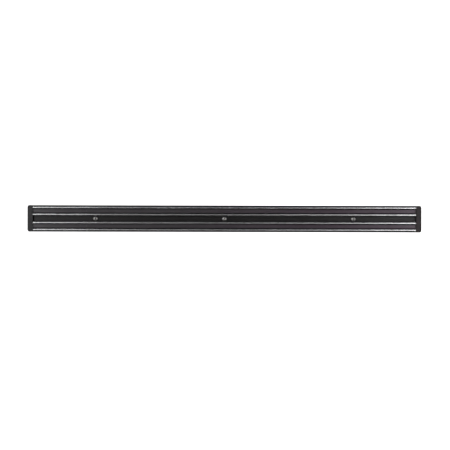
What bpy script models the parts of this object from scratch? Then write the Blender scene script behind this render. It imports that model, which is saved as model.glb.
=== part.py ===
"""Wall-mounted magnetic knife rack.

A black plastic extrusion is screwed to a wall through a channel along its middle.  Above and below
that channel it holds a row of ferrite magnets between two steel rails, whose front edges stand proud
and hold the blades.  A cover strip closes each row of magnets, and a moulded cap closes each end.

Metres.  X runs along the rack, +Y goes into the wall and +Z is up.  The origin is where the middle
screw's axis meets the wall.  "Depth" is the distance out from the wall, so depth is -y.
"""
import math

import bmesh
import bpy
from mathutils import Vector

# Overall sizes
RACK_LENGTH = 0.4572
RACK_HEIGHT = 0.0309
BODY_DEPTH = 0.0155

# Gap between neighbouring pieces
CLEARANCE = 0.0003

# Extrusion
OUTER_WALL = 0.00175
INNER_WALL = 0.0007
BACK_WALL = 0.0022
WEB_THICKNESS = 0.0025
CHANNEL_DEPTH = 0.0050
RAIL_GROOVE_DEPTH = 0.0008
BACK_LAND_HEIGHT = 0.0070
BACK_RELIEF_DEPTH = 0.0005
EDGE_RADIUS = 0.0008
BACK_EDGE_RADIUS = 0.0005
WALL_LIP_RADIUS = 0.0003
CHAMBER_RADIUS = 0.0004

# Steel rails
RAIL_THICKNESS = 0.0012
RAIL_PROUD = 0.0010
RAIL_EDGE_RADIUS = 0.00025

# Magnets and the strips that cover them
MAGNETS_PER_ROW = 8
MAGNET_CHAMFER = 0.0003
STRIP_THICKNESS = 0.0024
STRIP_RECESS = 0.0003
STRIP_FLANK_HEIGHT = 0.0010
STRIP_FLANK_DEPTH = 0.0020
STRIP_END_GAP = 0.0007

# End caps
CAP_WIDTH = 0.0063
CAP_PROUD = 0.0004
CAP_CORNER_RADIUS = 0.0023
CAP_WALL = 0.0016
SPIGOT_LENGTH = 0.0090
SPIGOT_WALL = 0.0013
SPIGOT_CHAMFER = 0.0006

# Mounting screws
SCREW_PITCH = 0.1500
SCREW_LENGTH = 0.0300
SCREW_DIAMETER = 0.0030
SCREW_CORE_DIAMETER = 0.0020
SHANK_DIAMETER = 0.0022
SHANK_LENGTH = 0.0080
THREAD_PITCH = 0.00135
TIP_LENGTH = 0.0040
TIP_FULLNESS = 0.7
HEAD_DIAMETER = 0.0053
HEAD_RIM = 0.00015
HEAD_DOME = 0.0009
HEAD_SIDE_ROOM = 0.0005
HEAD_SEAT_GAP = 0.00035
RECESS_SPAN = 0.0030
RECESS_SLOT = 0.0008
RECESS_DEPTH = 0.0015
RECESS_FLOOR_SHARE = 0.45

# How finely curves are divided
FILLET_STEPS = 4
CORNER_STEPS = 6
HOLE_SIDES = 24
SCREW_SIDES = 16
DOME_STEPS = 3

# Sizes that follow from the ones above
HALF_HEIGHT = RACK_HEIGHT / 2
CHANNEL_HALF = HEAD_DIAMETER / 2 + HEAD_SIDE_ROOM
CHANNEL_FLOOR = BODY_DEPTH - CHANNEL_DEPTH
MAGNET_FLOOR = BACK_WALL + RAIL_GROOVE_DEPTH
RAIL_SLOT = RAIL_THICKNESS + 2 * CLEARANCE
INNER_RAIL_Z = CHANNEL_HALF + INNER_WALL + RAIL_SLOT / 2
OUTER_RAIL_Z = HALF_HEIGHT - OUTER_WALL - RAIL_SLOT / 2
ROW_LOW = INNER_RAIL_Z + RAIL_SLOT / 2
ROW_HIGH = OUTER_RAIL_Z - RAIL_SLOT / 2
ROW_Z = (ROW_LOW + ROW_HIGH) / 2
ROW_HEIGHT = ROW_HIGH - ROW_LOW
EXTRUSION_LENGTH = RACK_LENGTH - 2 * (CAP_WIDTH + CLEARANCE)
STRIP_FRONT = BODY_DEPTH - STRIP_RECESS
MAGNET_BACK = MAGNET_FLOOR + CLEARANCE
MAGNET_FRONT = STRIP_FRONT - STRIP_THICKNESS - CLEARANCE
SCREW_HOLE_RADIUS = SCREW_DIAMETER / 2 + CLEARANCE


# ---------------------------------------------------------------------------------- helpers
def clear_scene():
    for old in list(bpy.data.objects):
        bpy.data.objects.remove(old, do_unlink=True)


def make_material(name, colour, roughness, metallic=0.0):
    material = bpy.data.materials.new(name)
    material.use_nodes = True
    shader = material.node_tree.nodes["Principled BSDF"]
    shader.inputs["Base Color"].default_value = (*colour, 1.0)
    shader.inputs["Roughness"].default_value = roughness
    shader.inputs["Metallic"].default_value = metallic
    return material


def mesh_from(bm, name):
    """Turn a bmesh into mesh data with its faces pointing out."""
    bmesh.ops.recalc_face_normals(bm, faces=bm.faces)
    mesh = bpy.data.meshes.new(name)
    bm.to_mesh(mesh)
    bm.free()
    return mesh


def shade_round(mesh, angle_degrees=35):
    mesh.shade_smooth()
    mesh.set_sharp_from_angle(angle=math.radians(angle_degrees))


def add_object(name, mesh, parent, location=(0, 0, 0), material=None):
    thing = bpy.data.objects.new(name, mesh)
    bpy.context.scene.collection.objects.link(thing)
    thing.parent = parent
    thing.location = location
    if material and not mesh.materials:
        mesh.materials.append(material)
    return thing


def add_cutter(name, mesh, parent, location=(0, 0, 0)):
    cutter = add_object(name, mesh, parent, location)
    cutter.hide_render = True
    cutter.display_type = "WIRE"
    return cutter


def combine(thing, other, operation):
    boolean = thing.modifiers.new(other.name, "BOOLEAN")
    boolean.solver = "EXACT"
    boolean.operation = operation
    boolean.object = other


def round_edges(thing, radius, segments):
    bevel = thing.modifiers.new("edges", "BEVEL")
    bevel.width = radius
    bevel.segments = segments
    bevel.limit_method = "ANGLE"


def filleted(corners, steps=FILLET_STEPS):
    """Closed outline from (u, v, radius) corners, with each rounded corner as an arc."""
    outline = []
    for index, (u, v, radius) in enumerate(corners):
        corner = Vector((u, v))
        if radius == 0:
            outline.append(corner)
            continue
        before = (Vector(corners[index - 1][:2]) - corner).normalized()
        after = (Vector(corners[(index + 1) % len(corners)][:2]) - corner).normalized()
        half_angle = before.angle(after) / 2
        centre = corner + (before + after).normalized() * (radius / math.sin(half_angle))
        reach = radius / math.tan(half_angle)
        start = corner + before * reach - centre
        turn = start.angle_signed(corner + after * reach - centre)
        for step in range(steps + 1):
            angle = -turn * step / steps
            swing = Vector((start.x * math.cos(angle) - start.y * math.sin(angle),
                            start.x * math.sin(angle) + start.y * math.cos(angle)))
            outline.append(centre + swing)
    return outline


def prism_along_x(name, outlines, length):
    """Extrude (depth, z) outlines along X about the origin; outlines after the first are holes."""
    bm = bmesh.new()
    end_edges = ([], [])
    for outline in outlines:
        rings = []
        for x in (-length / 2, length / 2):
            rings.append([bm.verts.new((x, -depth, z)) for depth, z in outline])
        for index in range(len(outline)):
            following = (index + 1) % len(outline)
            bm.faces.new((rings[0][index], rings[0][following], rings[1][following], rings[1][index]))
            for end in (0, 1):
                end_edges[end].append(bm.edges.get((rings[end][index], rings[end][following])))
    for edges in end_edges:
        bmesh.ops.triangle_fill(bm, edges=edges, use_beauty=True)
    return mesh_from(bm, name)


def box_mesh(name, size):
    bm = bmesh.new()
    bmesh.ops.create_cube(bm, size=1.0)
    bmesh.ops.scale(bm, vec=size, verts=bm.verts)
    return mesh_from(bm, name)


def ring_about_y(bm, radius, y, sides):
    angles = [2 * math.pi * side / sides for side in range(sides)]
    return [bm.verts.new((radius * math.cos(a), y, radius * math.sin(a))) for a in angles]


def join_rings(bm, ring, following):
    for index in range(len(ring)):
        after = (index + 1) % len(ring)
        bm.faces.new((ring[index], ring[after], following[after], following[index]))


def turned_about_y(name, profile, sides):
    """Solid of revolution about Y from (radius, y) points, closed by a flat at each end."""
    bm = bmesh.new()
    rings = [ring_about_y(bm, radius, y, sides) for radius, y in profile]
    for ring, following in zip(rings, rings[1:]):
        join_rings(bm, ring, following)
    bm.faces.new(rings[0])
    bm.faces.new(rings[-1])
    return mesh_from(bm, name)


# ---------------------------------------------------------------------------------- extrusion
def extrusion_outline():
    """Cross-section, listed for the upper half from the channel's floor round to the back."""
    upper = [
        (CHANNEL_FLOOR, CHANNEL_HALF, 0),
        (BODY_DEPTH, CHANNEL_HALF, WALL_LIP_RADIUS),
        (BODY_DEPTH, CHANNEL_HALF + INNER_WALL, WALL_LIP_RADIUS),
        (BACK_WALL, CHANNEL_HALF + INNER_WALL, 0),
        (BACK_WALL, ROW_LOW, 0),
        (MAGNET_FLOOR, ROW_LOW, 0),
        (MAGNET_FLOOR, ROW_HIGH, 0),
        (BACK_WALL, ROW_HIGH, 0),
        (BACK_WALL, HALF_HEIGHT - OUTER_WALL, 0),
        (BODY_DEPTH, HALF_HEIGHT - OUTER_WALL, WALL_LIP_RADIUS),
        (BODY_DEPTH, HALF_HEIGHT, EDGE_RADIUS),
        (0, HALF_HEIGHT, BACK_EDGE_RADIUS),
        (0, HALF_HEIGHT - BACK_LAND_HEIGHT, 0),
        (BACK_RELIEF_DEPTH, HALF_HEIGHT - BACK_LAND_HEIGHT - BACK_RELIEF_DEPTH, 0),
    ]
    lower = [(depth, -z, radius) for depth, z, radius in reversed(upper)]
    return filleted(upper + lower)


def chamber_outline():
    """Hollow behind the channel's floor, which keeps the plastic's walls even."""
    front = CHANNEL_FLOOR - WEB_THICKNESS
    return filleted([
        (BACK_WALL, CHANNEL_HALF, CHAMBER_RADIUS),
        (front, CHANNEL_HALF, CHAMBER_RADIUS),
        (front, -CHANNEL_HALF, CHAMBER_RADIUS),
        (BACK_WALL, -CHANNEL_HALF, CHAMBER_RADIUS),
    ])


def screw_hole_mesh():
    """Countersunk hole, with y = 0 on the channel's floor."""
    head_radius = HEAD_DIAMETER / 2
    overshoot = CLEARANCE
    return turned_about_y("screw_hole", [
        (head_radius, -HEAD_SIDE_ROOM),
        (head_radius, 0),
        (SCREW_HOLE_RADIUS, head_radius - SCREW_HOLE_RADIUS),
        (SCREW_HOLE_RADIUS, CHANNEL_FLOOR + overshoot),
    ], HOLE_SIDES)


def build_extrusion(parent, material):
    mesh = prism_along_x("body_extrusion", [extrusion_outline(), chamber_outline()], EXTRUSION_LENGTH)
    body = add_object("body_extrusion", mesh, parent, material=material)
    hole = screw_hole_mesh()
    for name, x in screw_places():
        cutter = add_cutter("hole_for_" + name, hole, parent, (x, -CHANNEL_FLOOR, 0))
        combine(body, cutter, "DIFFERENCE")
    return body


# ------------------------------------------------------------------------ rails, magnets, strips
def build_rails(parent, material):
    back = BACK_WALL + CLEARANCE
    front = BODY_DEPTH + RAIL_PROUD
    mesh = box_mesh("rail", (EXTRUSION_LENGTH, front - back, RAIL_THICKNESS))
    places = {
        "upper_outer_rail": OUTER_RAIL_Z,
        "upper_inner_rail": INNER_RAIL_Z,
        "lower_inner_rail": -INNER_RAIL_Z,
        "lower_outer_rail": -OUTER_RAIL_Z,
    }
    for name, z in places.items():
        rail = add_object(name, mesh, parent, (0, -(front + back) / 2, z), material)
        round_edges(rail, RAIL_EDGE_RADIUS, 2)


def build_magnets(parent, material):
    """The magnets of a row share the room between the two caps' spigots."""
    row_length = EXTRUSION_LENGTH + 2 * CLEARANCE - 2 * (SPIGOT_LENGTH + CLEARANCE)
    pitch = (row_length + CLEARANCE) / MAGNETS_PER_ROW
    mesh = box_mesh("magnet", (pitch - CLEARANCE, MAGNET_FRONT - MAGNET_BACK, ROW_HEIGHT))
    middle_depth = (MAGNET_FRONT + MAGNET_BACK) / 2
    for row, z in (("upper", ROW_Z), ("lower", -ROW_Z)):
        for index in range(MAGNETS_PER_ROW):
            x = (index - (MAGNETS_PER_ROW - 1) / 2) * pitch
            magnet = add_object(f"{row}_magnet_{index + 1}", mesh, parent, (x, -middle_depth, z), material)
            round_edges(magnet, MAGNET_CHAMFER, 1)


def build_cover_strips(parent, material):
    """The strips' flanks slope away from the rails, which leaves a groove beside each rail.

    Each end is sawn short of its cap, which leaves a narrow seam.
    """
    back = STRIP_FRONT - STRIP_THICKNESS
    shoulder = STRIP_FRONT - STRIP_FLANK_DEPTH
    half = ROW_HEIGHT / 2
    crest = half - STRIP_FLANK_HEIGHT
    outline = [
        (back, -half),
        (back, half),
        (shoulder, half),
        (STRIP_FRONT, crest),
        (STRIP_FRONT, -crest),
        (shoulder, -half),
    ]
    length = EXTRUSION_LENGTH + 2 * CLEARANCE - 2 * STRIP_END_GAP
    mesh = prism_along_x("cover_strip", [outline], length)
    add_object("upper_cover_strip", mesh, parent, (0, 0, ROW_Z), material)
    add_object("lower_cover_strip", mesh, parent, (0, 0, -ROW_Z), material)


# ---------------------------------------------------------------------------------- end caps
def cap_shell_mesh():
    """Block with rounded outer corners; x = 0 is the rack's end and +x goes towards the extrusion."""
    depth = BODY_DEPTH + CAP_PROUD
    outline = filleted([
        (0, -HALF_HEIGHT, CAP_CORNER_RADIUS),
        (CAP_WIDTH, -HALF_HEIGHT, 0),
        (CAP_WIDTH, HALF_HEIGHT, 0),
        (0, HALF_HEIGHT, CAP_CORNER_RADIUS),
    ], CORNER_STEPS)
    bm = bmesh.new()
    rings = [[bm.verts.new((x, y, z)) for x, z in outline] for y in (0, -depth)]
    join_rings(bm, rings[0], rings[1])
    for ring, radius in ((rings[1], EDGE_RADIUS), (rings[0], BACK_EDGE_RADIUS)):
        bm.faces.new(ring)
        rim = []
        for index, vertex in enumerate(ring):
            following = ring[(index + 1) % len(ring)]
            if vertex.co.x + following.co.x < 2 * CAP_WIDTH - CLEARANCE:
                rim.append(bm.edges.get((vertex, following)))
        bmesh.ops.recalc_face_normals(bm, faces=bm.faces)
        bmesh.ops.bevel(bm, geom=rim, offset=radius, segments=3, profile=0.5, affect="EDGES")
    return mesh_from(bm, "end_cap")


def cap_pocket_mesh():
    """Hollow of the cap, open towards the extrusion."""
    depth = BODY_DEPTH + CAP_PROUD - 2 * CAP_WALL
    return box_mesh("cap_pocket", (2 * (CAP_WIDTH - CAP_WALL), depth, RACK_HEIGHT - 2 * CAP_WALL))


def spigots_mesh():
    """Two square tubes that plug the magnet rows, standing on the cap's end wall."""
    bm = bmesh.new()
    root = CAP_WALL / 2
    tip = CAP_WIDTH + SPIGOT_LENGTH
    for middle in (ROW_Z, -ROW_Z):
        sections = []
        for x, shrink in ((root, 0), (tip - SPIGOT_CHAMFER, 0), (tip, SPIGOT_CHAMFER)):
            half = ROW_HEIGHT / 2 - shrink
            low, high = MAGNET_BACK + shrink, MAGNET_FRONT - shrink
            corners = ((low, -half), (low, half), (high, half), (high, -half))
            sections.append([bm.verts.new((x, -depth, middle + z)) for depth, z in corners])
        for section, following in zip(sections, sections[1:]):
            join_rings(bm, section, following)
        bm.faces.new(sections[0])
        bm.faces.new(sections[-1])
    return mesh_from(bm, "spigots")


def spigot_hollow_mesh():
    size = (
        2 * (CAP_WIDTH + SPIGOT_LENGTH - CAP_WALL),
        MAGNET_FRONT - MAGNET_BACK - 2 * SPIGOT_WALL,
        ROW_HEIGHT - 2 * SPIGOT_WALL,
    )
    return box_mesh("spigot_hollow", size)


def build_end_cap(name, parent, x, turn, material):
    """Both caps are the same moulding; the right one is turned half round about Y."""
    cap = add_object(name, cap_shell_mesh(), parent, (x, 0, 0), material)
    cap.rotation_euler = (0, turn, 0)
    middle_depth = (BODY_DEPTH + CAP_PROUD) / 2
    pocket = add_cutter(name + "_pocket", cap_pocket_mesh(), cap, (CAP_WIDTH, -middle_depth, 0))
    combine(cap, pocket, "DIFFERENCE")
    combine(cap, add_cutter(name + "_spigots", spigots_mesh(), cap), "UNION")
    middle_depth = (MAGNET_FRONT + MAGNET_BACK) / 2
    hollow = spigot_hollow_mesh()
    for row, z in (("upper", ROW_Z), ("lower", -ROW_Z)):
        place = (CAP_WIDTH + SPIGOT_LENGTH, -middle_depth, z)
        combine(cap, add_cutter(f"{name}_{row}_hollow", hollow, cap, place), "DIFFERENCE")


def build_end_caps(parent, material):
    build_end_cap("left_end_cap", parent, -RACK_LENGTH / 2, 0, material)
    build_end_cap("right_end_cap", parent, RACK_LENGTH / 2, math.pi, material)


# ---------------------------------------------------------------------------------- screws
def screw_places():
    return (("left_screw", -SCREW_PITCH), ("centre_screw", 0), ("right_screw", SCREW_PITCH))


def thread_point(bm, turns, share, start, tip):
    """A vertex on the thread: a share of the pitch from 0 to 1 goes over root, crest and root."""
    y = start + (turns + share) * THREAD_PITCH
    shank, core, crest = SHANK_DIAMETER / 2, SCREW_CORE_DIAMETER / 2, SCREW_DIAMETER / 2
    on_first_turn = max(0.0, 1 - (turns + share) ** 2)
    radius = core + (shank - core) * on_first_turn
    if 0 < share < 0.5:
        radius += (crest - core) * min(1.0, 0.3 + turns)
    radius *= min(1.0, (tip - y) / TIP_LENGTH) ** TIP_FULLNESS
    angle = 2 * math.pi * turns
    return bm.verts.new((radius * math.cos(angle), y, radius * math.sin(angle)))


def add_thread(bm, ring, start, tip):
    """Spiral strip of thread from a ring of vertices on the shank down to the point."""
    shares = (0.0, 0.4, 0.8)
    turns = int((tip - start) / THREAD_PITCH - 1)
    steps = turns * SCREW_SIDES
    strip = []
    for step in range(steps + 1):
        strip.append([thread_point(bm, step / SCREW_SIDES, share, start, tip) for share in shares])
    point = bm.verts.new((0, tip, 0))
    for step in range(steps):
        here, there = strip[step], strip[step + 1]
        for row in range(len(shares) - 1):
            bm.faces.new((here[row], there[row], there[row + 1], here[row + 1]))
        below = step + SCREW_SIDES
        if below < steps:
            bm.faces.new((here[-1], there[-1], strip[below + 1][0], strip[below][0]))
        elif below == steps:
            bm.faces.new((here[-1], there[-1], point, strip[below][0]))
        else:
            bm.faces.new((here[-1], there[-1], point))
    bm.faces.new(strip[-1] + [point])
    for side in range(SCREW_SIDES):
        after = (side + 1) % SCREW_SIDES
        bm.faces.new((ring[side], ring[after], strip[side + 1][0], strip[side][0]))
    bm.faces.new([ring[0]] + strip[0] + [strip[SCREW_SIDES][0]])


def screw_mesh():
    """Raised countersunk wood screw pointing along +Y, with y = 0 on the channel's floor."""
    head_radius = HEAD_DIAMETER / 2
    shank_radius = SHANK_DIAMETER / 2
    rim = -HEAD_SEAT_GAP
    bm = bmesh.new()
    top = bm.verts.new((0, rim - HEAD_RIM - HEAD_DOME, 0))
    rings = []
    for step in range(1, DOME_STEPS + 1):
        swing = math.pi / 2 * step / DOME_STEPS
        y = rim - HEAD_RIM - HEAD_DOME * math.cos(swing)
        rings.append(ring_about_y(bm, head_radius * math.sin(swing), y, SCREW_SIDES))
    rings.append(ring_about_y(bm, head_radius, rim, SCREW_SIDES))
    rings.append(ring_about_y(bm, shank_radius, rim + head_radius - shank_radius, SCREW_SIDES))
    rings.append(ring_about_y(bm, shank_radius, rim + SHANK_LENGTH, SCREW_SIDES))
    for index in range(SCREW_SIDES):
        bm.faces.new((top, rings[0][index], rings[0][(index + 1) % SCREW_SIDES]))
    for ring, following in zip(rings, rings[1:]):
        join_rings(bm, ring, following)
    add_thread(bm, rings[-1], rim + SHANK_LENGTH + THREAD_PITCH / 4, rim + SCREW_LENGTH)
    mesh = mesh_from(bm, "screw")
    shade_round(mesh)
    return mesh


def recess_mesh():
    """Cross-shaped driver recess, tapering towards its floor; y = 0 is the top of the head."""
    bm = bmesh.new()
    sections = []
    for y, share in ((-CLEARANCE, 1.0), (RECESS_DEPTH, RECESS_FLOOR_SHARE)):
        arm = RECESS_SPAN / 2 * share
        half = RECESS_SLOT / 2 * (0.5 + share / 2)
        quarter = ((arm, -half), (arm, half), (half, half))
        section = []
        for corner in range(4):
            cos, sin = math.cos(corner * math.pi / 2), math.sin(corner * math.pi / 2)
            section += [bm.verts.new((x * cos - z * sin, y, x * sin + z * cos)) for x, z in quarter]
        sections.append(section)
    join_rings(bm, sections[0], sections[1])
    bm.faces.new(sections[0])
    bm.faces.new(sections[1])
    return mesh_from(bm, "driver_recess")


def build_screws(parent, material):
    mesh = screw_mesh()
    recess = recess_mesh()
    top = -HEAD_SEAT_GAP - HEAD_RIM - HEAD_DOME
    for name, x in screw_places():
        screw = add_object(name, mesh, parent, (x, -CHANNEL_FLOOR, 0), material)
        combine(screw, add_cutter(name + "_recess", recess, screw, (0, top, 0)), "DIFFERENCE")


# ---------------------------------------------------------------------------------- the rack
def build_rack():
    clear_scene()
    body_plastic = make_material("body_plastic", (0.012, 0.011, 0.012), 0.45)
    strip_plastic = make_material("strip_plastic", (0.032, 0.026, 0.031), 0.30)
    cap_plastic = make_material("cap_plastic", (0.014, 0.012, 0.013), 0.50)
    rail_steel = make_material("rail_steel", (0.60, 0.61, 0.62), 0.25, metallic=1.0)
    ferrite = make_material("ferrite", (0.075, 0.075, 0.080), 0.70)
    screw_zinc = make_material("screw_zinc", (0.46, 0.45, 0.43), 0.30, metallic=1.0)

    rack = bpy.data.objects.new("knife_rack", None)
    bpy.context.scene.collection.objects.link(rack)
    build_extrusion(rack, body_plastic)
    build_rails(rack, rail_steel)
    build_magnets(rack, ferrite)
    build_cover_strips(rack, strip_plastic)
    build_end_caps(rack, cap_plastic)
    build_screws(rack, screw_zinc)


build_rack()
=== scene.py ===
"""Looks of the magnetic knife rack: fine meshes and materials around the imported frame.

Metres, in the frame's axes: X along the rack, +Y into the wall, +Z up.  As in the frame's design,
"depth" is the distance out from the wall, so depth is -y.
"""
import math

import bmesh
import bpy
from mathutils import Matrix, Vector, noise


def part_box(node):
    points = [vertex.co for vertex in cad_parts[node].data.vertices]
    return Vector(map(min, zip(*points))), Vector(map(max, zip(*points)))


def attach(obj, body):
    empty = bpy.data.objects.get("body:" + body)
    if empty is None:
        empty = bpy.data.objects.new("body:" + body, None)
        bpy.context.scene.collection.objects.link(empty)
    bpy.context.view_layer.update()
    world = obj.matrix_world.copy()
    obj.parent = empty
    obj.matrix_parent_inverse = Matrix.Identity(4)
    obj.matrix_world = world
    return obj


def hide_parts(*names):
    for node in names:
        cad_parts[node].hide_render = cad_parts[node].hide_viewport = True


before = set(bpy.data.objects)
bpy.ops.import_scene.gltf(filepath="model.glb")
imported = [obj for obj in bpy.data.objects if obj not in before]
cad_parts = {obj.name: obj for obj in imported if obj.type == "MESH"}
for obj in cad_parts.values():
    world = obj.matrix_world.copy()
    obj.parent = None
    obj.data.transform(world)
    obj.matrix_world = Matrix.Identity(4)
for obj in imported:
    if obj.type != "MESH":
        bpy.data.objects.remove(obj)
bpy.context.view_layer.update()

# Corners of the frame's pieces
body_low, body_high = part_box("body_extrusion")
outer_rail_low, outer_rail_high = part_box("upper_outer_rail")
inner_rail_low, inner_rail_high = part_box("upper_inner_rail")
strip_low, strip_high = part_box("upper_cover_strip")
magnet_low, magnet_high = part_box("upper_magnet_1")
cap_low, cap_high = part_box("left_end_cap")
screw_low, screw_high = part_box("centre_screw")

# Sizes read from them
HALF_HEIGHT = body_high.z
HALF_LENGTH = body_high.x
RACK_END = -cap_low.x
BODY_DEPTH = -body_low.y
CLEARANCE = magnet_low.z - inner_rail_high.z
BACK_WALL = -outer_rail_high.y - CLEARANCE
MAGNET_FLOOR = -magnet_high.y - CLEARANCE
OUTER_WALL = HALF_HEIGHT - outer_rail_high.z - CLEARANCE
ROW_LOW, ROW_HIGH = magnet_low.z, magnet_high.z
ROW_Z = (ROW_LOW + ROW_HIGH) / 2
CAP_DEPTH = -cap_low.y
CAP_WIDTH = RACK_END - HALF_LENGTH - CLEARANCE
HEAD_RADIUS = (screw_high.x - screw_low.x) / 2

# Sizes that a box can't give, as in the frame's design
INNER_WALL = 0.0007
CHANNEL_DEPTH = 0.0050
WEB_THICKNESS = 0.0025
BACK_LAND_HEIGHT = 0.0070
BACK_RELIEF_DEPTH = 0.0005
EDGE_RADIUS = 0.0008
BACK_EDGE_RADIUS = 0.0005
LIP_RADIUS = 0.0003
CHAMBER_RADIUS = 0.0004
SCREW_HOLE_RADIUS = 0.0018
CAP_WALL = 0.0016
CAP_CORNER_RADIUS = 0.0023
SPIGOT_WALL = 0.0013
STRIP_FLANK_HEIGHT = 0.0010
STRIP_FLANK_DEPTH = 0.0020
CHANNEL_HALF = inner_rail_low.z - CLEARANCE - INNER_WALL
CHANNEL_FLOOR = BODY_DEPTH - CHANNEL_DEPTH

# Fine shape that only the looks have
RAIL_EDGE_RADIUS = 0.00014
RAIL_STATIONS = 150
RAIL_WAVE = 0.000004
RAIL_WAVES_ALONG = 160  # per metre
RAIL_WAVES_ACROSS = 900  # per metre
RAIL_SEED_STEP = 7.0  # keeps the four rails' waves apart
STRIP_CROWN = 0.00010
STRIP_CREST_RADIUS = 0.00035
MAGNET_EDGE_RADIUS = 0.00035
CAP_CROWN = 0.00006
CAP_CROWN_RINGS = (0.15, 0.4, 0.6, 0.8, 0.92)  # shares of the way from the middle to the rim
CAP_SEAM_RADIUS = 0.00012
SPIGOT_ROOT = CAP_WALL * 0.75  # inside the cap's wall, so that the two join
SPIGOT_EDGE_RADIUS = 0.0004
SPIGOT_HOLLOW_RADIUS = 0.0003
GATE_RADIUS = 0.0009
GATE_DEPTH = 0.00015

# How far behind the front the plastic is fully in its painted darker shade, and the rails' marks end
PAINTED_SHADE_FADE = 0.0006
RAIL_MARK_DEPTH = 0.0012

# Screws
HEAD_DOME = 0.0009
HEAD_RIM = 0.00015
SHANK_RADIUS = 0.0011
SHANK_LENGTH = 0.0080
CORE_RADIUS = 0.0010
CREST_RADIUS = 0.0015
THREAD_PITCH = 0.00135
THREAD_CREST = 0.4  # share of the pitch
THREAD_FLANK = 0.27  # share of the pitch
THREAD_FLAT_TOP = 0.95  # share of the ridge's height
THREAD_START = 0.3  # share of the ridge's height
THREAD_FULLNESS = 0.8  # a power: below 1 the flanks bulge
TIP_LENGTH = 0.0040
TIP_FULLNESS = 0.7  # a power: below 1 the point bulges
RECESS_SPAN = 0.0030
RECESS_SLOT = 0.0008
RECESS_DEPTH = 0.0015
RECESS_TAPER = ((-0.0002, 1.05), (RECESS_DEPTH * 0.5, 0.80), (RECESS_DEPTH, 0.45))
RECESS_ROOT = 1.35  # share of the slot's half width, where two arms meet
RECESS_POINT = RECESS_DEPTH * 1.2
SCREW_TURNS = {"left_screw": 0.35, "centre_screw": 1.15, "right_screw": 0.80}

# How the rack sits in the picture, as shares of the picture's width, and the lens in millimetres
RACK_SHARE = 0.8764
RACK_ABOVE_MIDDLE = 0.0138
RACK_LEFT_OF_MIDDLE = 0.0013
PICTURE_TILT = math.radians(0.13)
LENS = 135.0
SENSOR = 36.0

# Studio
WORLD_LIGHT = 0.35
PAPER_GREY = 0.80
PAPER_FRONT_GLOW = 0.04
PAPER_BACK_GLOW = 0.80
CARD_SIZE = (0.8, 1.4)
CARD_SHIFT = -0.04
CARD_BEHIND_CAMERA = 0.3
SOFTBOXES = (  # name, place, size, radiance
    ("softbox_left", (-0.93, -2.2, 0.1), (0.55, 1.2), 4.6),
    ("softbox_right", (0.83, -2.2, 0.1), (0.55, 1.2), 4.5),
    ("key_light", (-0.9, -2.0, 0.75), (0.5, 0.4), 6.0),
)


# ---------------------------------------------------------------------------------- mesh tools
def mesh_from(bm, name):
    bmesh.ops.recalc_face_normals(bm, faces=bm.faces)
    mesh = bpy.data.meshes.new(name)
    bm.to_mesh(mesh)
    bm.free()
    return mesh


def add_piece(name, mesh, place=(0, 0, 0)):
    piece = bpy.data.objects.new(name, mesh)
    bpy.context.scene.collection.objects.link(piece)
    piece.location = place
    return piece


def combine(piece, tools, operation="DIFFERENCE"):
    """Cut or join each (mesh, place) tool with the piece and keep the result as the piece's mesh."""
    helpers = []
    for mesh, place in tools:
        helper = add_piece("tool", mesh, place)
        boolean = piece.modifiers.new("tool", "BOOLEAN")
        boolean.solver = "EXACT"
        boolean.operation = operation
        boolean.object = helper
        helpers.append(helper)
    graph = bpy.context.evaluated_depsgraph_get()
    result = bpy.data.meshes.new_from_object(piece.evaluated_get(graph))
    piece.modifiers.clear()
    piece.data = result
    for helper in helpers:
        bpy.data.objects.remove(helper)


def smooth(piece, angle_degrees=32):
    """Round where faces meet at a small angle, with flat faces kept flat."""
    piece.data.shade_smooth()
    piece.data.set_sharp_from_angle(angle=math.radians(angle_degrees))
    weighted = piece.modifiers.new("flat faces stay flat", "WEIGHTED_NORMAL")
    weighted.keep_sharp = True


def finish_piece(piece, node):
    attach(piece, "root")
    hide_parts(node)


def filleted(corners, steps=8):
    """Closed outline from (u, v, radius) corners, with each rounded corner as an arc."""
    outline = []
    for index, (u, v, radius) in enumerate(corners):
        corner = Vector((u, v))
        if radius == 0:
            outline.append(corner)
            continue
        before = (Vector(corners[index - 1][:2]) - corner).normalized()
        after = (Vector(corners[(index + 1) % len(corners)][:2]) - corner).normalized()
        half_angle = before.angle(after) / 2
        centre = corner + (before + after).normalized() * (radius / math.sin(half_angle))
        reach = radius / math.tan(half_angle)
        start = corner + before * reach - centre
        turn = start.angle_signed(corner + after * reach - centre)
        for step in range(steps + 1):
            outline.append(centre + Matrix.Rotation(-turn * step / steps, 2) @ start)
    return outline


def join_rings(bm, ring, following):
    """Faces between two closed rings with as many vertices each."""
    for index in range(len(ring)):
        after = (index + 1) % len(ring)
        bm.faces.new((ring[index], ring[after], following[after], following[index]))


def bar_mesh(name, outlines, stations, shape=None):
    """Loft closed (depth, z) outlines through the X stations; outlines after the first are holes.

    shape(x, depth, z) may return a slightly moved (depth, z).
    """
    bm = bmesh.new()
    end_edges = ([], [])
    for outline in outlines:
        rings = []
        for x in stations:
            section = [shape(x, depth, z) for depth, z in outline] if shape else outline
            rings.append([bm.verts.new((x, -depth, z)) for depth, z in section])
        for ring, following in zip(rings, rings[1:]):
            join_rings(bm, ring, following)
        for edges, ring in zip(end_edges, (rings[0], rings[-1])):
            for index, vertex in enumerate(ring):
                edges.append(bm.edges.get((vertex, ring[(index + 1) % len(ring)])))
    for edges in end_edges:
        bmesh.ops.triangle_fill(bm, edges=edges, use_beauty=True)
    return mesh_from(bm, name)


def evenly(start, end, count):
    """Numbers from start to end, both included, at equal steps."""
    return [start + (end - start) * step / (count - 1) for step in range(count)]


def ring_about_y(bm, radius, y, sides):
    angles = [2 * math.pi * side / sides for side in range(sides)]
    return [bm.verts.new((radius * math.cos(a), y, radius * math.sin(a))) for a in angles]


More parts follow.
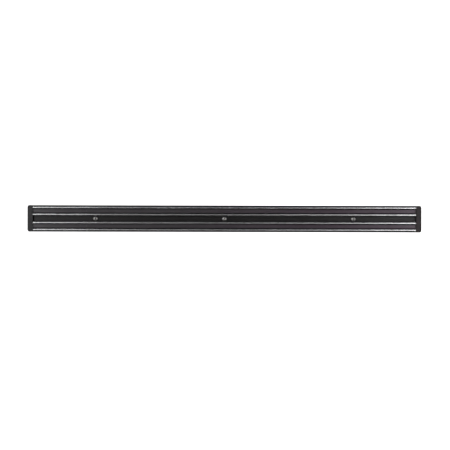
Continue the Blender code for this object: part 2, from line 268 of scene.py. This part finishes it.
def turned_about_y(name, profile, sides=64):
    """Solid of revolution about Y from (radius, y) points, closed by a flat at each end."""
    bm = bmesh.new()
    rings = [ring_about_y(bm, radius, y, sides) for radius, y in profile]
    for ring, following in zip(rings, rings[1:]):
        join_rings(bm, ring, following)
    bm.faces.new(rings[0])
    bm.faces.new(rings[-1])
    return mesh_from(bm, name)


def box_mesh(name, size, bevel=0.0):
    bm = bmesh.new()
    bmesh.ops.create_cube(bm, size=1.0)
    bmesh.ops.scale(bm, vec=size, verts=bm.verts)
    if bevel:
        bmesh.ops.bevel(bm, geom=bm.edges[:], offset=bevel, segments=3, profile=0.5, affect="EDGES")
    return mesh_from(bm, name)


# ---------------------------------------------------------------------------------- materials
class Paint:
    """A material's node tree, with a short call for each thing that its pattern needs."""

    def __init__(self, name, metallic=0.0):
        self.material = bpy.data.materials.new(name)
        self.material.use_nodes = True
        self.tree = self.material.node_tree
        self.shader = self.tree.nodes["Principled BSDF"]
        self.shader.inputs["Metallic"].default_value = metallic
        self.place = self.add("ShaderNodeTexCoord", {}).outputs["Object"]
        self.normal = None

    def add(self, kind, inputs, **settings):
        node = self.tree.nodes.new(kind)
        for name, value in settings.items():
            setattr(node, name, value)
        for key, value in inputs.items():
            if isinstance(value, bpy.types.NodeSocket):
                self.tree.links.new(value, node.inputs[key])
            else:
                node.inputs[key].default_value = value
        return node

    def grain(self, per_metre, detail=3.0, roughness=0.5):
        """Noise from 0 to 1 with its own number of features per metre along X, Y and Z."""
        scaled = self.add("ShaderNodeVectorMath", {0: self.place, 1: per_metre}, operation="MULTIPLY")
        inputs = {"Vector": scaled.outputs[0], "Scale": 1.0, "Detail": detail, "Roughness": roughness}
        return self.add("ShaderNodeTexNoise", inputs).outputs[0]

    def spread(self, value, low, high, start=0.35, end=0.65):
        """Map start..end of a value to low..high, held at both ends.

        Most of a noise lies between the start and end that are the defaults.
        """
        inputs = {"Value": value, "From Min": start, "From Max": end, "To Min": low, "To Max": high}
        return self.add("ShaderNodeMapRange", inputs).outputs[0]

    def combine(self, operation, first, second):
        return self.add("ShaderNodeMath", {0: first, 1: second}, operation=operation).outputs[0]

    def blend(self, amount, colour_a, colour_b):
        inputs = {0: amount, 6: opaque(colour_a), 7: opaque(colour_b)}
        return self.add("ShaderNodeMix", inputs, data_type="RGBA").outputs[2]

    def along(self, axis):
        return self.add("ShaderNodeSeparateXYZ", {0: self.place}).outputs[axis]

    def behind(self, front, fade):
        """0 on the front face, at this depth, rising to 1 where the surface lies fade behind it."""
        return self.spread(self.along("Y"), 0.0, 1.0, -front, -front + fade)

    def colour(self, value):
        self.tree.links.new(value, self.shader.inputs["Base Color"])

    def roughness(self, value):
        self.tree.links.new(value, self.shader.inputs["Roughness"])

    def bump(self, height, distance):
        inputs = {"Height": height, "Distance": distance, "Strength": 1.0}
        if self.normal:
            inputs["Normal"] = self.normal
        self.normal = self.add("ShaderNodeBump", inputs).outputs[0]
        self.tree.links.new(self.normal, self.shader.inputs["Normal"])


def opaque(colour):
    return colour if isinstance(colour, bpy.types.NodeSocket) else (*colour, 1.0)


def extruded_plastic(name, dark, light, scuff, gloss, shine, front, painted_recess_shade, cast):
    """Rigid black PVC: cloudy streaks and die lines along the bar, and fine scuffs across it.

    Surfaces behind the front face (channel, grooves, sides) get a painted shade: a darker colour
    standing in for shade.
    The cast is painted light: the purplish tint of the light on the bar's right end, painted into the
    colour there.
    """
    paint = Paint(name)
    paint.shader.inputs["Specular IOR Level"].default_value = shine
    clouds = paint.grain((11, 240, 240), detail=4)
    scuffs = paint.spread(paint.grain((2400, 120, 260), detail=2), 0.0, 1.0, start=0.66, end=0.76)
    patches = paint.spread(paint.grain((30, 90, 90), detail=2), 0.0, 1.0, start=0.50, end=0.70)
    marks = paint.combine("MULTIPLY", scuffs, patches)
    plain = paint.blend(paint.spread(clouds, 0.0, 1.0), dark, light)
    # Painted light: towards the right end the colour turns to the cast, the purplish tint of the light
    # there
    painted_light_to_right = paint.spread(paint.along("X"), 0.0, 0.9, start=-HALF_LENGTH / 4, end=HALF_LENGTH)
    with_painted_light_tint = paint.blend(painted_light_to_right, plain, cast)
    worn = paint.blend(marks, with_painted_light_tint, scuff)
    # Painted shade: behind the front face the colour turns to the darker shade colour
    paint.colour(paint.blend(paint.behind(front, PAINTED_SHADE_FADE), worn, painted_recess_shade))
    lines = paint.grain((7, 3800, 3800), detail=2)
    dulled = paint.combine("MULTIPLY", marks, 0.2)
    paint.roughness(paint.combine("ADD", paint.spread(lines, *gloss), dulled))
    paint.bump(lines, distance=0.000006)
    paint.bump(paint.grain((900, 900, 900)), distance=0.000008)
    return paint.material


def body_plastic():
    return extruded_plastic(
        "pvc_body",
        dark=(0.0060, 0.0060, 0.0062),
        light=(0.0110, 0.0106, 0.0110),
        scuff=(0.040, 0.038, 0.040),
        gloss=(0.25, 0.34),
        shine=0.28,
        front=BODY_DEPTH,
        # The last two colours are painted: a shade for the channel and sides, and a purplish light tint
        # towards the right end
        painted_recess_shade=(0.0050, 0.0048, 0.0050),
        cast=(0.0120, 0.0095, 0.0105),
    )


def strip_plastic():
    return extruded_plastic(
        "pvc_strip",
        dark=(0.025, 0.0225, 0.026),
        light=(0.038, 0.0345, 0.038),
        scuff=(0.075, 0.068, 0.073),
        gloss=(0.18, 0.25),
        shine=0.48,
        front=-strip_low.y,
        # The last two colours are painted: a shade for the grooved flanks beside the rails, and a
        # purplish light tint towards the right end
        painted_recess_shade=(0.0040, 0.0038, 0.0040),
        cast=(0.044, 0.026, 0.040),
    )


def cap_plastic(name, dark, light):
    """Black ABS from a spark-eroded mould: an even fine texture."""
    paint = Paint(name)
    paint.shader.inputs["Specular IOR Level"].default_value = 0.30
    clouds = paint.grain((160, 160, 160))
    paint.colour(paint.blend(paint.spread(clouds, 0.0, 1.0), dark, light))
    texture = paint.grain((3000, 3000, 3000))
    paint.roughness(paint.spread(texture, 0.42, 0.56))
    paint.bump(texture, distance=0.000030)
    return paint.material


def rail_steel():
    """Cold-rolled steel: rolling lines along it, and fine marks across the edges that knives touch."""
    paint = Paint("rolled_steel", metallic=1.0)
    rolling = paint.grain((26, 9500, 9500))
    stains = paint.spread(paint.grain((60, 500, 500), detail=4), 0.0, 0.6, start=0.45, end=0.75)
    paint.colour(paint.blend(stains, (0.66, 0.67, 0.68), (0.56, 0.56, 0.56)))
    marks = paint.spread(paint.grain((5200, 200, 420), detail=2), 0.0, 0.6, start=0.64, end=0.78)
    on_edge = paint.combine("SUBTRACT", 1.0, paint.behind(-outer_rail_low.y, RAIL_MARK_DEPTH))
    marks = paint.combine("MULTIPLY", marks, on_edge)
    gloss = paint.spread(rolling, 0.17, 0.25)
    paint.roughness(paint.combine("ADD", gloss, paint.combine("MULTIPLY", marks, 0.08)))
    paint.bump(rolling, distance=0.0000004)
    paint.bump(marks, distance=0.0000008)
    return paint.material


def zinc_plate():
    """Zinc on a cold-headed screw, with a faint cast from yellow to blue."""
    paint = Paint("zinc_screw", metallic=1.0)
    cast = paint.spread(paint.grain((420, 420, 420)), 0.0, 1.0)
    paint.colour(paint.blend(cast, (0.27, 0.26, 0.235), (0.23, 0.235, 0.245)))
    skin = paint.grain((3600, 3600, 3600), detail=2)
    paint.roughness(paint.spread(skin, 0.20, 0.30))
    paint.bump(skin, distance=0.000005)
    return paint.material


def ferrite():
    """Hard ferrite, ground on its faces: dull charcoal with pits and grinding lines."""
    paint = Paint("ferrite_block")
    speckle = paint.grain((1500, 1500, 1500), detail=4)
    pitted = paint.spread(speckle, 0.0, 1.0)
    paint.colour(paint.blend(pitted, (0.040, 0.040, 0.044), (0.085, 0.085, 0.090)))
    grinding = paint.grain((60, 2600, 2600), detail=2)
    paint.roughness(paint.spread(grinding, 0.50, 0.72))
    paint.bump(grinding, distance=0.000012)
    paint.bump(speckle, distance=0.000020)
    return paint.material


# ---------------------------------------------------------------------------------- extrusion
def extrusion_outline():
    """Cross-section, listed for the upper half from the channel's floor round to the back."""
    upper = [
        (CHANNEL_FLOOR, CHANNEL_HALF, LIP_RADIUS),
        (BODY_DEPTH, CHANNEL_HALF, LIP_RADIUS),
        (BODY_DEPTH, CHANNEL_HALF + INNER_WALL, LIP_RADIUS),
        (BACK_WALL, CHANNEL_HALF + INNER_WALL, 0),
        (BACK_WALL, ROW_LOW, 0),
        (MAGNET_FLOOR, ROW_LOW, 0),
        (MAGNET_FLOOR, ROW_HIGH, 0),
        (BACK_WALL, ROW_HIGH, 0),
        (BACK_WALL, HALF_HEIGHT - OUTER_WALL, 0),
        (BODY_DEPTH, HALF_HEIGHT - OUTER_WALL, LIP_RADIUS),
        (BODY_DEPTH, HALF_HEIGHT, EDGE_RADIUS),
        (0, HALF_HEIGHT, BACK_EDGE_RADIUS),
        (0, HALF_HEIGHT - BACK_LAND_HEIGHT, BACK_RELIEF_DEPTH / 3),
        (BACK_RELIEF_DEPTH, HALF_HEIGHT - BACK_LAND_HEIGHT - BACK_RELIEF_DEPTH, BACK_RELIEF_DEPTH / 3),
    ]
    lower = [(depth, -z, radius) for depth, z, radius in reversed(upper)]
    return filleted(upper + lower)


def chamber_outline():
    """The closed hollow behind the channel's floor."""
    front = CHANNEL_FLOOR - WEB_THICKNESS
    return filleted([
        (BACK_WALL, CHANNEL_HALF, CHAMBER_RADIUS),
        (front, CHANNEL_HALF, CHAMBER_RADIUS),
        (front, -CHANNEL_HALF, CHAMBER_RADIUS),
        (BACK_WALL, -CHANNEL_HALF, CHAMBER_RADIUS),
    ])


def make_extrusion(material):
    stations = evenly(-HALF_LENGTH, HALF_LENGTH, count=13)
    mesh = bar_mesh("extrusion", [extrusion_outline(), chamber_outline()], stations)
    body = add_piece("extrusion", mesh)
    hole = turned_about_y("countersunk_hole", [
        (HEAD_RADIUS, -CHANNEL_FLOOR - CLEARANCE / 2),
        (HEAD_RADIUS, -CHANNEL_FLOOR),
        (SCREW_HOLE_RADIUS, -CHANNEL_FLOOR + HEAD_RADIUS - SCREW_HOLE_RADIUS),
        (SCREW_HOLE_RADIUS, CLEARANCE),
    ])
    combine(body, [(hole, (x, 0, 0)) for x in screw_places().values()])
    body.data.materials.append(material)
    smooth(body)
    finish_piece(body, "body_extrusion")


# ------------------------------------------------------------------------ rails, strips, magnets
def make_rails(material):
    """Steel strips with softly rounded edges, whose front edge wanders by some thousandths of a mm."""
    half = (outer_rail_high.z - outer_rail_low.z) / 2
    back, front = -outer_rail_high.y, -outer_rail_low.y
    outline = filleted([
        (back, -half, RAIL_EDGE_RADIUS),
        (back, half, RAIL_EDGE_RADIUS),
        (front, half, RAIL_EDGE_RADIUS),
        (front, -half, RAIL_EDGE_RADIUS),
    ], steps=5)
    stations = evenly(outer_rail_low.x, outer_rail_high.x, RAIL_STATIONS)
    for seed, name in enumerate(("upper_outer", "upper_inner", "lower_inner", "lower_outer")):
        def wander(x, depth, z):
            share = (depth - back) / (front - back)
            place = (x * RAIL_WAVES_ALONG, seed * RAIL_SEED_STEP, z * RAIL_WAVES_ACROSS)
            return depth - RAIL_WAVE * share * (1 + noise.noise(place)), z

        low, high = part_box(name + "_rail")
        mesh = bar_mesh(name, [outline], stations, wander)
        rail = add_piece("steel_rail_" + name, mesh, (0, 0, (low.z + high.z) / 2))
        rail.data.materials.append(material)
        smooth(rail)
        finish_piece(rail, name + "_rail")


def make_strips(material):
    """Cover strips with a slightly crowned front, whose flanks slope away from the rails."""
    half = (strip_high.z - strip_low.z) / 2
    back, front = -strip_high.y, -strip_low.y
    shoulder = front - STRIP_FLANK_DEPTH
    crest = half - STRIP_FLANK_HEIGHT
    outline = filleted([
        (back, -half, LIP_RADIUS / 2),
        (back, half, LIP_RADIUS / 2),
        (shoulder, half, LIP_RADIUS),
        (front - STRIP_CROWN, crest, STRIP_CREST_RADIUS),
        (front, crest / 3, half),
        (front, -crest / 3, half),
        (front - STRIP_CROWN, -crest, STRIP_CREST_RADIUS),
        (shoulder, -half, LIP_RADIUS),
    ])
    stations = evenly(strip_low.x, strip_high.x, count=25)
    mesh = bar_mesh("cover_strip", [outline], stations)
    mesh.materials.append(material)
    for row, z in (("upper", ROW_Z), ("lower", -ROW_Z)):
        strip = add_piece(f"cover_{row}", mesh, (0, 0, z))
        smooth(strip)
        finish_piece(strip, f"{row}_cover_strip")


def make_magnets(material):
    size = magnet_high - magnet_low
    mesh = box_mesh("magnet", size, MAGNET_EDGE_RADIUS)
    mesh.materials.append(material)
    for name in sorted(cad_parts):
        if "_magnet_" in name:
            low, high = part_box(name)
            magnet = add_piece("ferrite_" + name, mesh, (low + high) / 2)
            smooth(magnet)
            finish_piece(magnet, name)


# ---------------------------------------------------------------------------------- end caps
def cap_section(inset_z, inset_front, inset_back):
    """The cap's outline, moved in by an inset from the top and bottom, the front and the back."""
    low, high = inset_back, CAP_DEPTH - inset_front
    half = HALF_HEIGHT - inset_z
    return filleted([
        (low, -half, BACK_EDGE_RADIUS),
        (high, -half, EDGE_RADIUS),
        (high, half, EDGE_RADIUS),
        (low, half, BACK_EDGE_RADIUS),
    ], steps=6)


def arc_inset(x, radius):
    """How far a corner rounded with this radius lies inside the block at x from its end face."""
    reach = max(0.0, radius - x)
    return radius - math.sqrt(radius * radius - reach * reach)


def cap_mesh():
    """x = 0 is the rack's end and +x goes towards the extrusion; the pocket opens that way."""
    stations = set()
    for radius, steps in ((CAP_CORNER_RADIUS, 12), (EDGE_RADIUS, 6), (BACK_EDGE_RADIUS, 4)):
        for angle in evenly(0, math.pi / 2, steps + 1):
            stations.add(round(radius * (1 - math.cos(angle)), 6))
    sections = []
    middle = Vector((CAP_DEPTH / 2, 0))
    end_face = cap_section(CAP_CORNER_RADIUS, EDGE_RADIUS, BACK_EDGE_RADIUS)
    for share in CAP_CROWN_RINGS:
        sections.append((CAP_CROWN * share ** 2, [middle + (p - middle) * share for p in end_face]))
    for x in sorted(stations):
        insets = (arc_inset(x, r) for r in (CAP_CORNER_RADIUS, EDGE_RADIUS, BACK_EDGE_RADIUS))
        sections.append((CAP_CROWN + x, cap_section(*insets)))
    sections.append((CAP_WIDTH - CAP_SEAM_RADIUS, cap_section(0, 0, 0)))
    sections.append((CAP_WIDTH, cap_section(*[CAP_SEAM_RADIUS] * 3)))
    sections.append((CAP_WIDTH, cap_section(*[CAP_WALL] * 3)))
    sections.append((CAP_WALL, cap_section(*[CAP_WALL + CAP_SEAM_RADIUS] * 3)))
    bm = bmesh.new()
    rings = [[bm.verts.new((x, -depth, z)) for depth, z in section] for x, section in sections]
    for ring, following in zip(rings, rings[1:]):
        join_rings(bm, ring, following)
    bm.faces.new(rings[0])
    bm.faces.new(rings[-1])
    return mesh_from(bm, "end_cap")


def make_caps(left_material, right_material):
    """Both caps are the same moulding; the right one is turned half round about Y."""
    tip = cap_high.x - cap_low.x
    size = Vector((tip - SPIGOT_ROOT, magnet_high.y - magnet_low.y, ROW_HIGH - ROW_LOW))
    middle_x = (tip + SPIGOT_ROOT) / 2
    middle_y = (magnet_high.y + magnet_low.y) / 2
    spigot = box_mesh("spigot", size, SPIGOT_EDGE_RADIUS)
    shrink = Vector((0, 2 * SPIGOT_WALL, 2 * SPIGOT_WALL))
    hollow = box_mesh("hollow", size - shrink, SPIGOT_HOLLOW_RADIUS)
    gate = turned_about_y("gate", [(GATE_RADIUS, -GATE_DEPTH), (GATE_RADIUS, GATE_DEPTH)], sides=32)
    gate.transform(Matrix.Rotation(math.pi / 2, 4, "Z"))
    cap = add_piece("cap_left", cap_mesh())
    rows = (ROW_Z, -ROW_Z)
    combine(cap, [(spigot, (middle_x, middle_y, z)) for z in rows], "UNION")
    combine(cap, [(hollow, (middle_x + CAP_WALL, middle_y, z)) for z in rows])
    combine(cap, [(gate, (0, -CAP_DEPTH / 2, 0))])
    cap.location.x = -RACK_END
    other = add_piece("cap_right", cap.data.copy(), (RACK_END, 0, 0))
    other.rotation_euler.y = math.pi
    for piece, side, material in ((cap, "left", left_material), (other, "right", right_material)):
        piece.data.materials.append(material)
        smooth(piece)
        finish_piece(piece, side + "_end_cap")


# ---------------------------------------------------------------------------------- screws
def screw_places():
    """Each screw's x, by its name."""
    places = {}
    for name in SCREW_TURNS:
        low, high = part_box(name)
        places[name] = (low.x + high.x) / 2
    return places


def thread_height(share):
    """Height of the ridge, 0 to 1, at a share of the pitch."""
    ridge = max(0.0, 1 - abs(share - THREAD_CREST) / THREAD_FLANK)
    return min(THREAD_FLAT_TOP, ridge) ** THREAD_FULLNESS


def add_thread(bm, ring, start, tip, rows=10):
    """Spiral strip of thread from a ring of vertices on the shank down to the point."""
    sides = len(ring)
    point = bm.verts.new((0, tip, 0))
    steps = int((tip - start) / THREAD_PITCH - 1) * sides
    strip = []
    for step in range(steps + 1):
        turns = step / sides
        angle = 2 * math.pi * turns
        line = []
        for row in range(rows):
            share = row / rows
            y = start + (turns + share) * THREAD_PITCH
            radius = CORE_RADIUS + (SHANK_RADIUS - CORE_RADIUS) * max(0.0, 1 - (turns + share) ** 2)
            growth = min(1.0, THREAD_START + turns)
            radius += (CREST_RADIUS - CORE_RADIUS) * thread_height(share) * growth
            radius *= min(1.0, (tip - y) / TIP_LENGTH) ** TIP_FULLNESS
            line.append(bm.verts.new((radius * math.cos(angle), y, radius * math.sin(angle))))
        strip.append(line)
    for step in range(steps):
        here, there = strip[step], strip[step + 1]
        for row in range(rows - 1):
            bm.faces.new((here[row], there[row], there[row + 1], here[row + 1]))
        below = step + sides
        if below < steps:
            bm.faces.new((here[-1], there[-1], strip[below + 1][0], strip[below][0]))
        elif below == steps:
            bm.faces.new((here[-1], there[-1], point, strip[below][0]))
        else:
            bm.faces.new((here[-1], there[-1], point))
    bm.faces.new(strip[-1] + [point])
    for side in range(sides):
        after = (side + 1) % sides
        bm.faces.new((ring[side], ring[after], strip[side + 1][0], strip[side][0]))
    bm.faces.new([ring[0]] + strip[0] + [strip[sides][0]])


def screw_mesh(sides=48):
    """Raised countersunk wood screw along Y at its real depth, centred on x = 0."""
    top, tip = screw_low.y, screw_high.y
    rim = top + HEAD_DOME + HEAD_RIM
    profile = [(HEAD_RADIUS * math.sin(a), rim - HEAD_RIM - HEAD_DOME * math.cos(a))
               for a in evenly(math.pi / 24, math.pi / 2, count=12)]
    profile += [
        (HEAD_RADIUS, rim - HEAD_RIM / 3),
        (HEAD_RADIUS - HEAD_RIM / 3, rim + HEAD_RIM / 3),
        (SHANK_RADIUS + HEAD_RIM, rim + HEAD_RADIUS - SHANK_RADIUS - HEAD_RIM),
        (SHANK_RADIUS, rim + HEAD_RADIUS - SHANK_RADIUS + HEAD_RIM),
        (SHANK_RADIUS, rim + SHANK_LENGTH),
    ]
    bm = bmesh.new()
    crown = bm.verts.new((0, top, 0))
    rings = [ring_about_y(bm, radius, y, sides) for radius, y in profile]
    for side in range(sides):
        bm.faces.new((crown, rings[0][side], rings[0][(side + 1) % sides]))
    for ring, following in zip(rings, rings[1:]):
        join_rings(bm, ring, following)
    add_thread(bm, rings[-1], rim + SHANK_LENGTH + THREAD_PITCH / 4, tip)
    return mesh_from(bm, "screw")


def recess_mesh():
    """Cross-shaped driver recess that tapers to a point below its floor; y = 0 is the head's top.

    At each (y, share) of the taper the arms have that share of the span, and their width narrows
    half as fast.
    """
    bm = bmesh.new()
    sections = []
    for y, share in RECESS_TAPER:
        arm = RECESS_SPAN / 2 * share
        half = RECESS_SLOT / 2 * (0.5 + share / 2)
        root = half * RECESS_ROOT
        quarter = ((arm, -half), (arm, half), (root, half), (half, root))
        section = []
        for corner in range(4):
            turn = Matrix.Rotation(corner * math.pi / 2, 2)
            section += [turn @ Vector(point) for point in quarter]
        sections.append([bm.verts.new((p.x, y, p.y)) for p in section])
    for section, following in zip(sections, sections[1:]):
        join_rings(bm, section, following)
    bm.faces.new(sections[0])
    bottom = bm.verts.new((0, RECESS_POINT, 0))
    for index, vertex in enumerate(sections[-1]):
        bm.faces.new((vertex, sections[-1][(index + 1) % len(sections[-1])], bottom))
    return mesh_from(bm, "driver_recess")


def make_screws(material):
    model = add_piece("screw_model", screw_mesh())
    combine(model, [(recess_mesh(), (0, screw_low.y, 0))])
    model.data.materials.append(material)
    for name, x in screw_places().items():
        screw = add_piece("wood_" + name, model.data, (x, 0, 0))
        screw.rotation_euler.y = SCREW_TURNS[name]
        smooth(screw, angle_degrees=40)
        finish_piece(screw, name)
    bpy.data.objects.remove(model)


# ---------------------------------------------------------------------------------- studio
def paper(name, grey, front_glow, back_glow, reach):
    """Matt paper with a glow of its own, which changes from reach before the rack to reach behind it."""
    paint = Paint(name)
    paint.shader.inputs["Base Color"].default_value = (grey, grey, grey, 1)
    paint.shader.inputs["Roughness"].default_value = 0.9
    paint.shader.inputs["Specular IOR Level"].default_value = 0.0
    paint.shader.inputs["Emission Color"].default_value = (1, 1, 1, 1)
    glow = paint.spread(paint.along("Y"), front_glow, back_glow, -reach, reach)
    paint.tree.links.new(glow, paint.shader.inputs["Emission Strength"])
    return paint.material


def make_sweep(floor_z=-0.95, middle=0.8, radius=4.2, cove=1.4, top=2.6, sides=96):
    """Pale floor that curves up into a wall all round."""
    profile = [(middle, floor_z), (radius - cove, floor_z)]
    for angle in evenly(0, math.pi / 2, count=13)[1:]:
        profile.append((radius - cove + cove * math.sin(angle), floor_z + cove * (1 - math.cos(angle))))
    profile.append((radius, top))
    bm = bmesh.new()
    rings = []
    for reach, z in profile:
        angles = [2 * math.pi * side / sides for side in range(sides)]
        rings.append([bm.verts.new((reach * math.cos(a), reach * math.sin(a), z)) for a in angles])
    for ring, following in zip(rings, rings[1:]):
        join_rings(bm, ring, following)
    bm.faces.new(rings[0])
    sweep = add_piece("pale_sweep", mesh_from(bm, "pale_sweep"))
    sweep.data.shade_smooth()
    sheet = paper("pale_paper", PAPER_GREY, PAPER_FRONT_GLOW, PAPER_BACK_GLOW, radius)
    sweep.data.materials.append(sheet)


def make_card(distance):
    """Black card behind the camera, which the rack's middle mirrors as in a product photograph."""
    bm = bmesh.new()
    bmesh.ops.create_grid(bm, x_segments=1, y_segments=1, size=0.5)
    place = (CARD_SHIFT, -distance - CARD_BEHIND_CAMERA, 0)
    card = add_piece("black_card", mesh_from(bm, "black_card"), place)
    card.scale = (*CARD_SIZE, 1)
    card.rotation_euler.x = math.pi / 2
    card.data.materials.append(paper("black_paper", grey=0.01, front_glow=0.0, back_glow=0.0, reach=1.0))
    card.visible_camera = False
    card.visible_shadow = False


def make_softbox(name, place, size, radiance):
    """Rectangular light turned towards the rack's middle."""
    lamp = bpy.data.lights.new(name, "AREA")
    lamp.shape = "RECTANGLE"
    lamp.size, lamp.size_y = size
    lamp.energy = radiance * math.pi * lamp.size * lamp.size_y
    light = bpy.data.objects.new(name, lamp)
    bpy.context.scene.collection.objects.link(light)
    light.location = place
    light.rotation_euler = (-Vector(place)).to_track_quat("-Z", "Y").to_euler()
    light.visible_camera = False


def make_world(strength):
    world = bpy.data.worlds.new("studio")
    world.use_nodes = True
    background = world.node_tree.nodes["Background"]
    background.inputs["Color"].default_value = (1, 1, 1, 1)
    background.inputs["Strength"].default_value = strength
    bpy.context.scene.world = world


def make_camera():
    """Straight in front, with the rack's share of the picture as at the top; returns its distance."""
    picture = 2 * RACK_END / RACK_SHARE
    distance = picture * LENS / SENSOR
    data = bpy.data.cameras.new("camera")
    data.lens = LENS
    data.sensor_width = SENSOR
    camera = bpy.data.objects.new("camera", data)
    bpy.context.scene.collection.objects.link(camera)
    camera.location = (
        picture * RACK_LEFT_OF_MIDDLE,
        -distance - CAP_DEPTH,
        -picture * RACK_ABOVE_MIDDLE,
    )
    camera.rotation_euler = (math.pi / 2, -PICTURE_TILT, 0)
    bpy.context.scene.camera = camera
    return distance


def make_studio():
    bpy.context.scene.view_settings.view_transform = "Standard"
    make_world(WORLD_LIGHT)
    make_sweep()
    make_card(make_camera())
    for name, place, size, radiance in SOFTBOXES:
        make_softbox(name, place, size, radiance)


# ---------------------------------------------------------------------------------- the rack
make_extrusion(body_plastic())
make_strips(strip_plastic())
make_caps(
    cap_plastic("abs_cap_left", dark=(0.0070, 0.0066, 0.0075), light=(0.0110, 0.0105, 0.0116)),
    # The right cap's colours are painted light: the same black ABS with the purplish tint of the light
    # on the right end
    cap_plastic("abs_cap_right_painted_light", dark=(0.0105, 0.0068, 0.0078), light=(0.0155, 0.0105, 0.0120)),
)
make_rails(rail_steel())
make_magnets(ferrite())
make_screws(zinc_plate())
make_studio()
